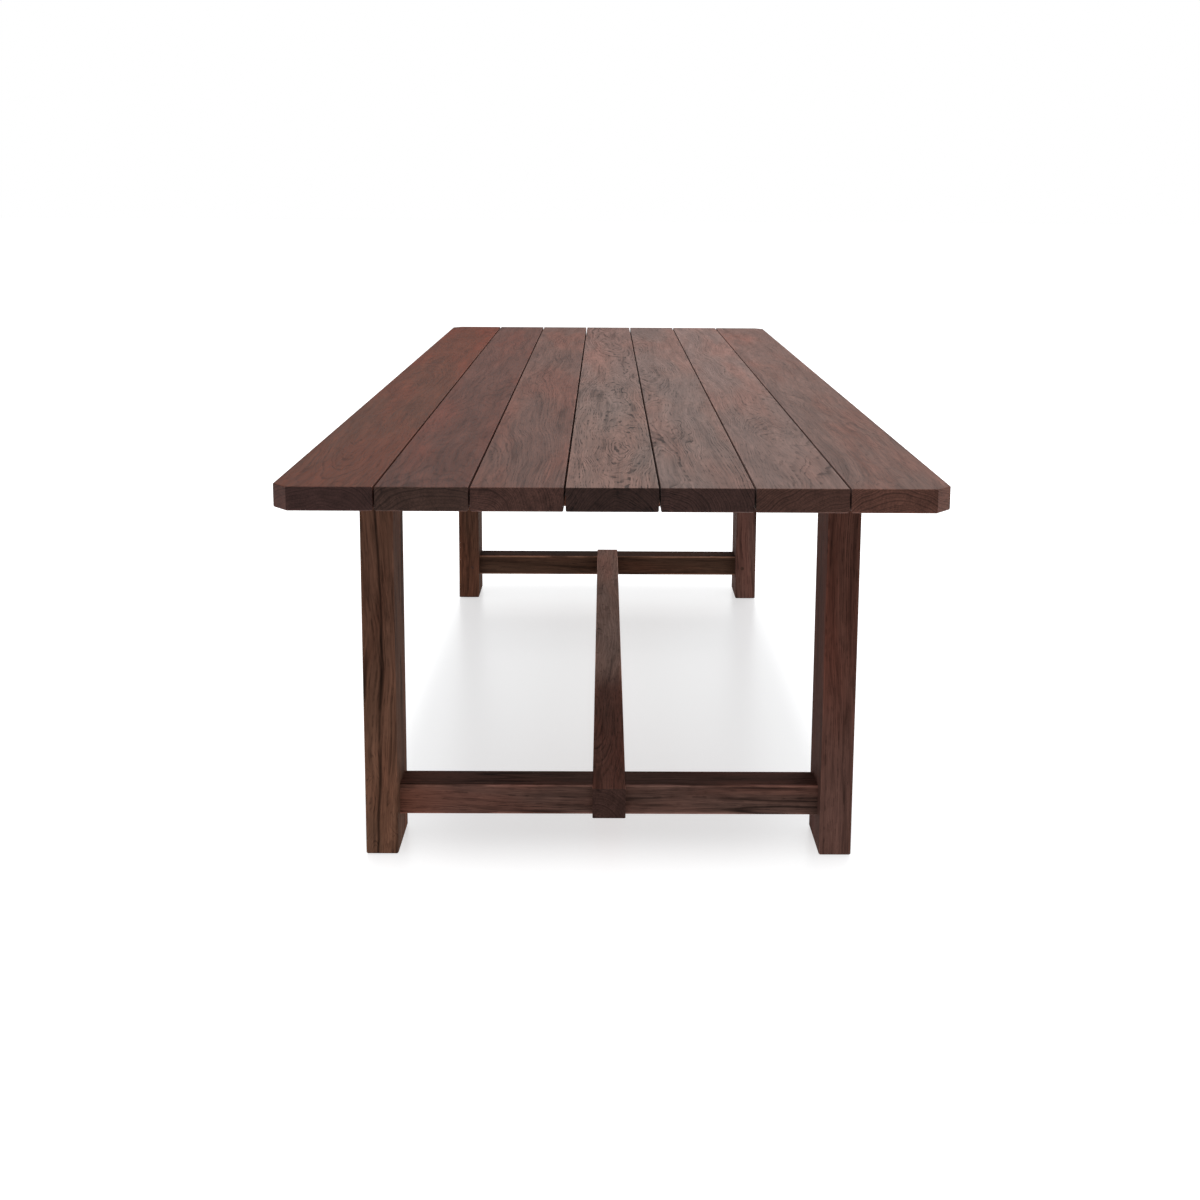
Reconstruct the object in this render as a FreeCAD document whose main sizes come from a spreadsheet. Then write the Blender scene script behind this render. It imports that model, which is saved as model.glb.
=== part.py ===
import FreeCAD, Part
import math
import os
import Sketcher
from types import SimpleNamespace

# Outdoor dining table of solid timber: a top of seven long planks on battens, two end frames of
# two legs and two rails each, and one long stretcher low down between the frames.
# Millimetres. X runs across the table, Y along it, Z up. The origin is on the floor, under the
# middle of the top. The many small pins and holes are eight-sided, and their widths are measured
# from flat to flat.

SIZES = [
    ("table_length", 2400),
    ("table_width", 1000),
    ("table_height", 760),
    ("plank_thickness", 37),
    ("outer_plank_width", 150),
    ("plank_gap", 3),
    ("corner_clip", 24),
    ("plank_top_radius", 2),
    ("plank_bottom_radius", 3.5),
    ("end_overhang", 365),
    ("side_overhang", 62),
    ("leg_width", 58),
    ("leg_depth", 118),
    ("leg_edge_radius", 3),
    ("foot_chamfer", 2),
    ("rail_depth", 60),
    ("rail_height", 56),
    ("rail_clearance", 65),
    ("upper_rail_height", 84),
    ("rail_edge_radius", 2),
    ("stretcher_width", 60),
    ("stretcher_end", 16),
    ("lap_share", 0.5),
    ("tenon_length", 38),
    ("tenon_thickness", 24),
    ("tenon_shoulder", 8),
    ("upper_tenon_shoulder", 16),
    ("mortise_end_gap", 2),
    ("glue_gap", 0.1),
    ("blind_hole_gap", 1.5),
    ("peg_width", 10),
    ("peg_tail", 15),
    ("dowel_width", 12),
    ("dowel_spacing", 60),
    ("dowel_in_leg", 20),
    ("dowel_in_plank", 25),
    ("batten_width", 70),
    ("batten_thickness", 30),
    ("batten_setback", 28),
    ("batten_bevel", 12),
    ("batten_arris", 2),
    ("screw_width", 5),
    ("screw_length", 54),
    ("screw_spacing", 50),
    ("screw_head_width", 14),
    ("screw_head_thickness", 2.5),
    ("screw_slot_length", 11),
    ("screw_hole_clearance", 1),
    ("counterbore_clearance", 2),
    ("stretcher_screw_length", 42),
    ("stretcher_screw_spacing", 28),
    ("glide_margin", 8),
    ("glide_corner", 4),
    ("glide_thickness", 2),
    ("glide_nail_width", 3.4),
    ("glide_nail_length", 18),
]

PLANK_COUNT = 7
BATTENS = {"front": -1, "middle": 0, "rear": 1}
ENDS = {"front": -1, "rear": 1}
SIDES = {"left": -1, "right": 1}
WAYS = (-1, 1)
FLAT = "XY_Plane"
LENGTHWISE = "YZ_Plane"
CROSSWISE = "XZ_Plane"
ALONG_X = FreeCAD.Vector(1, 0, 0)
ALONG_Y = FreeCAD.Vector(0, 1, 0)
ALONG_Z = FreeCAD.Vector(0, 0, 1)
OCTAGON_SIDE_SHARE = math.tan(math.pi / 8)

doc = FreeCAD.newDocument("dining_table")
sheet = doc.addObject("Spreadsheet::Sheet", "Sizes")
for row, (alias, number) in enumerate(SIZES, 1):
    sheet.set(f"A{row}", alias)
    sheet.set(f"B{row}", str(number))
    sheet.setAlias(f"B{row}", alias)
doc.recompute()


class Length:
    """A length worked out from the sheet's sizes: its value now, and its text for an expression."""

    def __init__(self, value, text):
        self.value = value
        self.text = text

    def __add__(self, other):
        other = as_length(other)
        return Length(self.value + other.value, f"({self.text} + {other.text})")

    def __sub__(self, other):
        other = as_length(other)
        return Length(self.value - other.value, f"({self.text} - {other.text})")

    def __mul__(self, other):
        other = as_length(other)
        return Length(self.value * other.value, f"({self.text} * {other.text})")

    def __truediv__(self, other):
        other = as_length(other)
        return Length(self.value / other.value, f"({self.text} / {other.text})")

    def __neg__(self):
        return self * -1

    __rmul__ = __mul__


def as_length(item):
    """A plain number as a Length, and a Length as it is."""
    return item if isinstance(item, Length) else Length(item, str(item))


size = SimpleNamespace(**{alias: Length(float(sheet.get(alias)), f"Sizes.{alias}")
                          for alias, number in SIZES})

# Lengths that more than one piece shares.
TOP_UNDERSIDE = size.table_height - size.plank_thickness
LEG_HEIGHT = TOP_UNDERSIDE - size.glide_thickness
LEG_CENTRE = size.table_width / 2 - size.side_overhang - size.leg_width / 2
FRAME_CENTRE = size.table_length / 2 - size.end_overhang - size.leg_depth / 2
RAIL_SPAN = size.table_width - size.side_overhang * 2 - size.leg_width * 2
INNER_PLANKS_WIDTH = (size.table_width - size.outer_plank_width * 2
                      - size.plank_gap * (PLANK_COUNT - 1))
INNER_PLANK_WIDTH = INNER_PLANKS_WIDTH / (PLANK_COUNT - 2)
INNER_PLANKS_SPREAD = (INNER_PLANK_WIDTH + size.plank_gap) * (PLANK_COUNT - 3)
OUTER_PLANK_CENTRE = size.table_width / 2 - size.outer_plank_width / 2
BATTEN_PITCH = FRAME_CENTRE / 2
LOWER_TENON_HEIGHT = size.rail_height - size.tenon_shoulder * 2
UPPER_TENON_HEIGHT = size.upper_rail_height - size.tenon_shoulder - size.upper_tenon_shoulder
UPPER_RAIL_LEVEL = TOP_UNDERSIDE - size.upper_rail_height
PEG_LENGTH = size.leg_depth / 2 + size.tenon_thickness / 2 + size.peg_tail
PEG_CENTRE = RAIL_SPAN / 2 + size.tenon_length / 2
LAP_HEIGHT = size.rail_height * size.lap_share
STRETCHER_LENGTH = FRAME_CENTRE * 2 + size.rail_depth + size.stretcher_end * 2
SCREW_IN_PLANK = size.screw_length - size.batten_thickness
HEAD_RECESS = size.screw_head_thickness + size.blind_hole_gap
PILOT_HOLE = size.screw_width + size.glue_gap * 2
SHANK_HOLE = size.screw_width + size.screw_hole_clearance
HEAD_HOLE = size.screw_head_width + size.counterbore_clearance
PEG_HOLE = size.peg_width + size.glue_gap * 2
DOWEL_HOLE = size.dowel_width + size.glue_gap * 2

nodes = []


def new_body(label, x, y, z):
    """An empty sub-part whose own origin stands at three lengths."""
    body = doc.addObject("PartDesign::Body", label)
    body.Label = label
    for axis, length in zip("xyz", (x, y, z)):
        body.setExpression(f"Placement.Base.{axis}", as_length(length).text)
    return body


def origin_part(body, role):
    """One of the body's own axes or planes."""
    return next(part for part in body.Origin.OriginFeatures if part.Role == role)


def new_sketch(body, name, plane, offset=0):
    """A sketch on one of the body's origin planes, moved along the plane's normal by offset."""
    sketch = body.newObject("Sketcher::SketchObject", name)
    sketch.AttachmentSupport = (origin_part(body, plane), [""])
    sketch.MapMode = "FlatFace"
    sketch.setExpression("AttachmentOffset.Base.z", as_length(offset).text)
    return sketch


def outlines(sketch, loops):
    """Closed loops of straight sides, each corner held by the two lengths of its place."""
    sides = []
    joints = []
    holds = []
    for loop in loops:
        corners = [(as_length(x), as_length(y)) for x, y in loop]
        points = [FreeCAD.Vector(x.value, y.value, 0) for x, y in corners]
        first = len(sides)
        count = len(corners)
        for k, (x, y) in enumerate(corners):
            following = (k + 1) % count
            sides.append(Part.LineSegment(points[k], points[following]))
            joints.append(Sketcher.Constraint("Coincident", first + k, 2, first + following, 1))
            holds.append(("DistanceX", first + k, x))
            holds.append(("DistanceY", first + k, y))
    sketch.addGeometry(sides, False)
    rules = [Sketcher.Constraint(kind, -1, 1, side, 1, length.value) for kind, side, length in holds]
    sketch.addConstraint(joints + rules)
    for index, (_, _, length) in enumerate(holds, len(joints)):
        sketch.setExpression(f"Constraints[{index}]", length.text)


def box(left, bottom, width, height):
    """The corners of a rectangle from its lower left corner, width and height."""
    return [(left, bottom), (left + width, bottom), (left + width, bottom + height), (left, bottom + height)]


def octagon(x, y, width, length=None):
    """The corners of an eight-sided hole or pin, drawn out along the first axis to a length."""
    half = width / 2
    near = half * OCTAGON_SIDE_SHARE
    reach = (length or width) / 2
    near_reach = reach - half + near
    x, y = as_length(x), as_length(y)
    return [(x - near_reach, y - half), (x + near_reach, y - half), (x + reach, y - near),
            (x + reach, y + near), (x + near_reach, y + half), (x - near_reach, y + half),
            (x - reach, y + near), (x - reach, y - near)]


def pad(body, name, sketch, length, symmetric=False):
    """Give the sketch a thickness, away from its plane or to both sides of it."""
    feature = body.newObject("PartDesign::Pad", name)
    feature.Profile = sketch
    feature.setExpression("Length", length.text)
    feature.Midplane = symmetric
    doc.recompute()


def pocket(body, name, sketch, length=None, ahead=False, symmetric=False):
    """Cut the sketch out of the body: behind its plane, ahead of it or both, or right through."""
    before = body.Shape.Volume
    feature = body.newObject("PartDesign::Pocket", name)
    feature.Profile = sketch
    feature.Midplane = symmetric or length is None
    feature.Reversed = ahead
    if length is None:
        feature.Type = "ThroughAll"
    else:
        feature.setExpression("Length", length.text)
    doc.recompute()
    if not body.Shape.Volume < before:
        raise RuntimeError(f"{body.Label}: {name} cuts nothing")
    return feature


def repeat(body, name, cut, rows):
    """Repeat a cut in rows: each runs along an axis, over a whole length, with a count of places."""
    before = body.Shape.Volume
    steps = []
    for axis, length, count in rows:
        step = body.newObject("PartDesign::LinearPattern", f"{name}_along_{axis.lower()}")
        step.Direction = (origin_part(body, f"{axis}_Axis"), [""])
        step.setExpression("Length", as_length(length).text)
        step.Occurrences = count
        steps.append(step)
    pattern = body.newObject("PartDesign::MultiTransform", name)
    pattern.Originals = [cut]
    pattern.Transformations = steps
    body.Tip = pattern
    doc.recompute()
    if not body.Shape.Volume < before:
        raise RuntimeError(f"{body.Label}: {name} cuts nothing")


def ease(body, kind, name, wanted, length):
    """Round or chamfer every edge of the body's solid that wanted picks."""
    base = body.Tip
    edges = [f"Edge{i}" for i, edge in enumerate(base.Shape.Edges, 1) if wanted(edge)]
    feature = body.newObject(f"PartDesign::{kind}", name)
    feature.Base = (base, edges)
    feature.setExpression("Radius" if kind == "Fillet" else "Size", length.text)
    doc.recompute()


def runs_along(direction):
    """A test of whether an edge is straight and lies along a direction."""
    def test(edge):
        if not isinstance(edge.Curve, Part.Line):
            return False
        return abs(edge.Curve.Direction.dot(direction)) > 1 - Part.Precision.confusion()
    return test


def lies_at(level):
    """A test of whether an edge lies flat at a level."""
    height = as_length(level).value

    def test(edge):
        ends = (edge.BoundBox.ZMin, edge.BoundBox.ZMax)
        return max(abs(end - height) for end in ends) < Part.Precision.approximation()
    return test


def plank_place(number):
    """A plank's middle line, the side of the table that it closes, and its width."""
    step = number - (PLANK_COUNT + 1) // 2
    if number in (1, PLANK_COUNT):
        side = 1 if step > 0 else -1
        return OUTER_PLANK_CENTRE * side, side, size.outer_plank_width
    return (INNER_PLANK_WIDTH + size.plank_gap) * step, 0, INNER_PLANK_WIDTH


def plank_outline(side, width):
    """Corners of a plank seen from above: the planks at the two sides have clipped corners."""
    end = size.table_length / 2
    if side == 0:
        return box(-width / 2, -end, width, end * 2)
    inner = width / 2 * -side
    outer = width / 2 * side
    clipped = (width / 2 - size.corner_clip) * side
    clip = end - size.corner_clip
    return [(inner, -end), (clipped, -end), (outer, -clip), (outer, clip), (clipped, end), (inner, end)]


def make_plank(number):
    """One plank of the top, with blind holes below for its screws and dowels."""
    middle, side, width = plank_place(number)
    body = new_body(f"plank_{number}", middle, 0, TOP_UNDERSIDE)
    board = new_sketch(body, "board_outline", FLAT)
    outlines(board, [plank_outline(side, width)])
    pad(body, "board", board, size.plank_thickness)
    ease(body, "Fillet", "top_arrises", lies_at(size.plank_thickness), size.plank_top_radius)
    ease(body, "Fillet", "bottom_arrises", lies_at(0), size.plank_bottom_radius)

    pilot_depth = SCREW_IN_PLANK + size.blind_hole_gap
    pilot = new_sketch(body, "batten_pilot_place", FLAT)
    outlines(pilot, [octagon(-size.screw_spacing / 2, -BATTEN_PITCH, PILOT_HOLE)])
    hole = pocket(body, "batten_pilot_hole", pilot, pilot_depth, ahead=True)
    repeat(body, "batten_pilot_holes", hole,
           [("X", size.screw_spacing, len(WAYS)), ("Y", BATTEN_PITCH * 2, len(BATTENS))])
    if side:
        leg_line = (LEG_CENTRE - OUTER_PLANK_CENTRE) * side
        dowel = new_sketch(body, "dowel_place", FLAT)
        outlines(dowel, [octagon(leg_line, -FRAME_CENTRE - size.dowel_spacing / 2, DOWEL_HOLE)])
        hole = pocket(body, "dowel_hole", dowel, size.dowel_in_plank + size.blind_hole_gap, ahead=True)
        repeat(body, "dowel_holes", hole,
               [("Y", size.dowel_spacing, len(WAYS)), ("Y", FRAME_CENTRE * 2, len(ENDS))])
    else:
        pilot = new_sketch(body, "rail_pilot_place", FLAT)
        outlines(pilot, [octagon(0, -FRAME_CENTRE, PILOT_HOLE)])
        hole = pocket(body, "rail_pilot_hole", pilot, pilot_depth, ahead=True)
        repeat(body, "rail_pilot_holes", hole, [("Y", FRAME_CENTRE * 2, len(ENDS))])
    nodes.append(body)


def make_leg(end_name, side_name):
    """One leg: a flat post with two mortises towards the rails, and its peg and dowel holes."""
    end = ENDS[end_name]
    side = SIDES[side_name]
    body = new_body(f"leg_{end_name}_{side_name}", LEG_CENTRE * side, FRAME_CENTRE * end,
                    size.glide_thickness)
    section = new_sketch(body, "section", FLAT)
    outlines(section, [box(-size.leg_width / 2, -size.leg_depth / 2, size.leg_width, size.leg_depth)])
    pad(body, "post", section, LEG_HEIGHT)
    ease(body, "Fillet", "arrises", runs_along(ALONG_Z), size.leg_edge_radius)
    ease(body, "Chamfer", "foot", lies_at(0), size.foot_chamfer)

    inner_face = size.leg_width / 2 * -side
    lift = size.tenon_shoulder - size.glide_thickness
    tenons = [(size.rail_clearance + lift, LOWER_TENON_HEIGHT),
              (UPPER_RAIL_LEVEL + lift, UPPER_TENON_HEIGHT)]
    mortises = new_sketch(body, "mortise_outlines", CROSSWISE)
    outlines(mortises, [box(inner_face, floor - size.glue_gap,
                            (size.tenon_length + size.mortise_end_gap) * side,
                            height + size.glue_gap * 2) for floor, height in tenons])
    pocket(body, "mortises", mortises, size.tenon_thickness + size.glue_gap * 2, symmetric=True)

    pegs = new_sketch(body, "peg_places", CROSSWISE, size.leg_depth / 2 * end)
    peg_line = inner_face + size.tenon_length / 2 * side
    outlines(pegs, [octagon(peg_line, floor + height / 2, PEG_HOLE) for floor, height in tenons])
    pocket(body, "peg_holes", pegs, PEG_LENGTH + size.blind_hole_gap, ahead=end < 0)

    dowels = new_sketch(body, "dowel_places", FLAT, LEG_HEIGHT)
    outlines(dowels, [octagon(0, size.dowel_spacing / 2 * way, DOWEL_HOLE) for way in WAYS])
    pocket(body, "dowel_holes", dowels, size.dowel_in_leg + size.blind_hole_gap)

    nail = new_sketch(body, "glide_nail_place", FLAT)
    outlines(nail, [octagon(0, 0, size.glide_nail_width + size.glue_gap * 2)])
    pocket(body, "glide_nail_hole", nail, size.glide_nail_length + size.blind_hole_gap, ahead=True)
    nodes.append(body)


def make_glide(end_name, side_name):
    """A flat foot pad with clipped corners, on a nail that is driven up into the leg."""
    body = new_body(f"glide_{end_name}_{side_name}", LEG_CENTRE * SIDES[side_name],
                    FRAME_CENTRE * ENDS[end_name], 0)
    width = size.leg_width - size.glide_margin * 2
    depth = size.leg_depth - size.glide_margin * 2
    sole = new_sketch(body, "sole_outline", FLAT)
    outlines(sole, [box(-width / 2, -depth / 2, width, depth)])
    pad(body, "sole", sole, size.glide_thickness)
    ease(body, "Chamfer", "corners", runs_along(ALONG_Z), size.glide_corner)
    nail = new_sketch(body, "nail_section", FLAT, size.glide_thickness)
    outlines(nail, [octagon(0, 0, size.glide_nail_width)])
    pad(body, "nail", nail, size.glide_nail_length)
    nodes.append(body)


def new_rail(label, end, level, height, tenon_height):
    """A rail with its long edges eased and a tenon at each end, bored for its peg."""
    body = new_body(label, 0, FRAME_CENTRE * end, level)
    section = new_sketch(body, "section", LENGTHWISE)
    outlines(section, [box(-size.rail_depth / 2, as_length(0), size.rail_depth, height)])
    pad(body, "rail", section, RAIL_SPAN, symmetric=True)
    ease(body, "Fillet", "arrises", runs_along(ALONG_X), size.rail_edge_radius)

    tenon = new_sketch(body, "tenon_section", LENGTHWISE)
    outlines(tenon, [box(-size.tenon_thickness / 2, size.tenon_shoulder, size.tenon_thickness,
                         tenon_height)])
    pad(body, "tenons", tenon, RAIL_SPAN + size.tenon_length * 2, symmetric=True)
    pegs = new_sketch(body, "peg_places", CROSSWISE)
    peg_level = size.tenon_shoulder + tenon_height / 2
    outlines(pegs, [octagon(PEG_CENTRE * way, peg_level, PEG_HOLE) for way in WAYS])
    pocket(body, "peg_holes", pegs)
    return body


def bore_rail(body, spread, count, head_depth):
    """A row of screw holes up through a rail, each widened from below to take the screw's head."""
    for name, width, depth in (("head", HEAD_HOLE, head_depth), ("shank", SHANK_HOLE, None)):
        place = new_sketch(body, f"{name}_place", FLAT)
        outlines(place, [octagon(-spread / 2, 0, width)])
        hole = pocket(body, f"{name}_hole", place, depth, ahead=True)
        repeat(body, f"{name}_holes", hole, [("X", spread, count)])


def make_lower_rail(end_name):
    """A lower rail, notched from above for the stretcher and bored from below for its screws."""
    body = new_rail(f"lower_rail_{end_name}", ENDS[end_name], size.rail_clearance, size.rail_height,
                    LOWER_TENON_HEIGHT)
    notch = new_sketch(body, "notch_outline", CROSSWISE)
    outlines(notch, [box(-size.stretcher_width / 2, LAP_HEIGHT, size.stretcher_width, size.rail_height)])
    pocket(body, "stretcher_notch", notch)
    bore_rail(body, size.stretcher_screw_spacing, len(WAYS), HEAD_RECESS)
    nodes.append(body)


def make_upper_rail(end_name):
    """An upper rail, deeply counterbored from below for the screws that hold the planks."""
    body = new_rail(f"upper_rail_{end_name}", ENDS[end_name], UPPER_RAIL_LEVEL, size.upper_rail_height,
                    UPPER_TENON_HEIGHT)
    bore_rail(body, INNER_PLANKS_SPREAD, PLANK_COUNT - 2, size.upper_rail_height - size.batten_thickness)
    nodes.append(body)


def make_stretcher():
    """The long stretcher, notched from below over both lower rails, its ends standing proud."""
    body = new_body("stretcher", 0, 0, size.rail_clearance)
    section = new_sketch(body, "section", CROSSWISE)
    outlines(section, [box(-size.stretcher_width / 2, as_length(0), size.stretcher_width,
                           size.rail_height)])
    pad(body, "bar", section, STRETCHER_LENGTH, symmetric=True)
    ease(body, "Fillet", "arrises", runs_along(ALONG_Y), size.rail_edge_radius)

    notches = new_sketch(body, "notch_outlines", LENGTHWISE)
    outlines(notches, [box(FRAME_CENTRE * end - size.rail_depth / 2, -size.rail_height,
                           size.rail_depth, size.rail_height + LAP_HEIGHT) for end in ENDS.values()])
    pocket(body, "rail_notches", notches)
    pilots = new_sketch(body, "pilot_places", FLAT)
    outlines(pilots, [octagon(size.stretcher_screw_spacing / 2 * way, FRAME_CENTRE * end, PILOT_HOLE)
                      for end in ENDS.values() for way in WAYS])
    pocket(body, "pilot_holes", pilots, HEAD_RECESS + size.stretcher_screw_length + size.blind_hole_gap,
           ahead=True)
    nodes.append(body)


def make_batten(batten_name):
    """A batten across the planks, bevelled at its ends, with a slot for every screw."""
    body = new_body(f"batten_{batten_name}", 0, BATTEN_PITCH * BATTENS[batten_name],
                    TOP_UNDERSIDE - size.batten_thickness)
    half = size.table_width / 2 - size.batten_setback
    flat = half - size.batten_bevel
    side_view = new_sketch(body, "side_view", CROSSWISE)
    outlines(side_view, [[(-flat, 0), (flat, 0), (half, size.batten_bevel),
                          (half, size.batten_thickness), (-half, size.batten_thickness),
                          (-half, size.batten_bevel)]])
    pad(body, "batten", side_view, size.batten_width, symmetric=True)
    along = runs_along(ALONG_X)
    below = lies_at(0)
    ease(body, "Chamfer", "arrises", lambda edge: along(edge) and below(edge), size.batten_arris)

    for name, spread, count in (("inner", INNER_PLANKS_SPREAD, PLANK_COUNT - 2),
                                ("outer", OUTER_PLANK_CENTRE * 2, len(SIDES))):
        outline = new_sketch(body, f"{name}_slot_outline", FLAT)
        outlines(outline, [octagon(-(size.screw_spacing + spread) / 2, 0, SHANK_HOLE,
                                   size.screw_slot_length)])
        slot = pocket(body, f"{name}_slot", outline)
        repeat(body, f"{name}_slots", slot,
               [("X", size.screw_spacing, len(WAYS)), ("X", spread, count)])
    nodes.append(body)


def new_pin(label, width, length):
    """One straight pin, standing on its end at the origin, for a group to repeat."""
    body = new_body(label, 0, 0, 0)
    section = new_sketch(body, "section", FLAT)
    outlines(section, [octagon(0, 0, width)])
    pad(body, "pin", section, length)
    return body


def new_screw(label, length):
    """One screw, standing on its flat head at the origin, for a group to repeat."""
    body = new_pin(label, size.screw_width, size.screw_head_thickness + length)
    head = new_sketch(body, "head_outline", FLAT)
    outlines(head, [octagon(0, 0, size.screw_head_width)])
    pad(body, "head", head, size.screw_head_thickness)
    return body


def make_group(label, pattern, places):
    """A node of identical loose pieces: the pattern's solid at every place."""
    copies = []
    for x, y, z, rotation in places:
        copy = pattern.Shape.copy()
        copy.Placement = FreeCAD.Placement(FreeCAD.Vector(x.value, y.value, z.value), rotation)
        copies.append(copy)
    group = doc.addObject("Part::Feature", label)
    group.Label = label
    group.Shape = Part.makeCompound(copies)
    group.Placement = FreeCAD.Placement()
    nodes.append(group)


def plank_screw_places():
    """Two screws from each batten into each plank, one from each upper rail into an inner plank."""
    level = TOP_UNDERSIDE - size.batten_thickness - size.screw_head_thickness
    for number in range(1, PLANK_COUNT + 1):
        middle, side, _ = plank_place(number)
        for step in BATTENS.values():
            for way in WAYS:
                x = middle + size.screw_spacing / 2 * way
                yield x, BATTEN_PITCH * step, level, FreeCAD.Rotation()
        if side == 0:
            for end in ENDS.values():
                yield middle, FRAME_CENTRE * end, level, FreeCAD.Rotation()


def stretcher_screw_places():
    """Two screws up through each lower rail into the stretcher."""
    level = size.rail_clearance + HEAD_RECESS - size.screw_head_thickness
    for end in ENDS.values():
        for way in WAYS:
            x = size.stretcher_screw_spacing / 2 * way
            yield x, FRAME_CENTRE * end, level, FreeCAD.Rotation()


def peg_places():
    """One peg through each tenon, driven from the side of the leg that faces the table's middle."""
    levels = [size.rail_clearance + size.rail_height / 2,
              UPPER_RAIL_LEVEL + size.tenon_shoulder + UPPER_TENON_HEIGHT / 2]
    for end in ENDS.values():
        driven = FreeCAD.Rotation(ALONG_Z, end * ALONG_Y)
        for side in SIDES.values():
            for level in levels:
                yield PEG_CENTRE * side, (FRAME_CENTRE - size.leg_depth / 2) * end, level, driven


def dowel_places():
    """Two dowels up from each leg's top into the plank above."""
    level = TOP_UNDERSIDE - size.dowel_in_leg
    for end in ENDS.values():
        for side in SIDES.values():
            for way in WAYS:
                y = FRAME_CENTRE * end + size.dowel_spacing / 2 * way
                yield LEG_CENTRE * side, y, level, FreeCAD.Rotation()


for plank_number in range(1, PLANK_COUNT + 1):
    make_plank(plank_number)
for end_label in ENDS:
    for side_label in SIDES:
        make_leg(end_label, side_label)
        make_glide(end_label, side_label)
    make_lower_rail(end_label)
    make_upper_rail(end_label)
make_stretcher()
for batten_label in BATTENS:
    make_batten(batten_label)

plank_screw = new_screw("plank_screw_pattern", size.screw_length)
stretcher_screw = new_screw("stretcher_screw_pattern", size.stretcher_screw_length)
peg = new_pin("peg_pattern", size.peg_width, PEG_LENGTH)
dowel = new_pin("dowel_pattern", size.dowel_width, size.dowel_in_leg + size.dowel_in_plank)
make_group("plank_screws", plank_screw, plank_screw_places())
make_group("stretcher_screws", stretcher_screw, stretcher_screw_places())
make_group("tenon_pegs", peg, peg_places())
make_group("leg_dowels", dowel, dowel_places())

doc.recompute()
for item in doc.Objects:
    if "Invalid" in item.State or "Error" in item.State:
        raise RuntimeError(f"{item.Label} did not build: {item.State}")
for node in nodes:
    if node.Shape.isNull() or not node.Shape.isValid():
        raise RuntimeError(f"{node.Label} has no valid solid")

os.makedirs("parts", exist_ok=True)
for node in nodes:
    node.Shape.exportStep(f"parts/{node.Label}.step")
    print(node.Label, "solids:", len(node.Shape.Solids), "volume:", round(node.Shape.Volume))
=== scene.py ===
import math

import bpy
import numpy as np
from mathutils import Matrix, Vector


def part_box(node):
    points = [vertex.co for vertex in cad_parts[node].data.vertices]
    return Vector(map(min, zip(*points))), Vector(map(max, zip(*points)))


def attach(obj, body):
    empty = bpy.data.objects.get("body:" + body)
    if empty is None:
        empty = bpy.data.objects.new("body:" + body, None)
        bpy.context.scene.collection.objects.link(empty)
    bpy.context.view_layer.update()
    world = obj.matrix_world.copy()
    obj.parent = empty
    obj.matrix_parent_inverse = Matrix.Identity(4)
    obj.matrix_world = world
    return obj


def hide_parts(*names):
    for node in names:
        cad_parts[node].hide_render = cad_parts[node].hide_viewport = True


# Outdoor dining table of dark, reddish-brown teak on a white studio floor.
# Metres, in the model's own frame: X across the table, Y along it, Z up.

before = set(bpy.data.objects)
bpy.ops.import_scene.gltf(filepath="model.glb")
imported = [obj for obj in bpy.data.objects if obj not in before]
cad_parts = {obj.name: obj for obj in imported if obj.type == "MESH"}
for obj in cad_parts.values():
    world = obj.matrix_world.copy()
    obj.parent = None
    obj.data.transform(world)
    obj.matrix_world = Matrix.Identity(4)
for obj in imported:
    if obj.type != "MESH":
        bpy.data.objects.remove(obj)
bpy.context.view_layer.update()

# The camera. It stands before the front end, a little above the top. The principal point lies
# above the image's middle, as it does in the photograph, so the camera is shifted.
IMAGE_PIXELS = 1200
FOCAL_PIXELS = 1327.2
PRINCIPAL_POINT_PIXELS = (612.18, 383.60)
SENSOR_MM = 36
CAMERA_PLACE = (-0.0131, -3.0932, 1.1793)
CAMERA_PITCH_DEG = 8.0
CAMERA_YAW_DEG = 0.36
CAMERA_ROLL_DEG = 0.34

# The studio: a white floor that glows, less so in a soft shadow between the feet, a dim sky and
# three soft boxes of light. The shadow is half as deep at its edge, which lies close to the feet's
# outer faces, and it fades over its width. Edge and width are given across and along the table.
# The floor's varnish reflects more than a real one does, because its glow drowns most of that.
FLOOR_REACH = 60
FLOOR_COLOUR = "#8C9094"
FLOOR_ROUGHNESS = 0.3
FLOOR_IOR = 2.0
FLOOR_SPECULAR = 1.0
FLOOR_GLOW = 0.94
SHADOW_GLOW = 0.615
SHADOW_EDGE = (0.465, 0.865)
SHADOW_MIDDLE = (0, 0.035, 0)
SHADOW_WIDTH = (0.13, 0.20)
SKY_FOR_CAMERA = 1.0
SKY_FOR_LIGHT = 0.5
LAMPS = {
    "ceiling": {"place": (0, 0.3, 3.0), "target": (0, 0.3, 0), "size": (3.5, 4.5), "watts": 110},
    "rear_right": {"place": (4.5, 5.5, 1.8), "target": (0, 0, 0.76), "size": (3.0, 1.6),
                   "watts": 75},
    "rear": {"place": (0, 7.0, 1.0), "target": (0, 0, 0.7), "size": (6.0, 1.6), "watts": 30},
}

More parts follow.
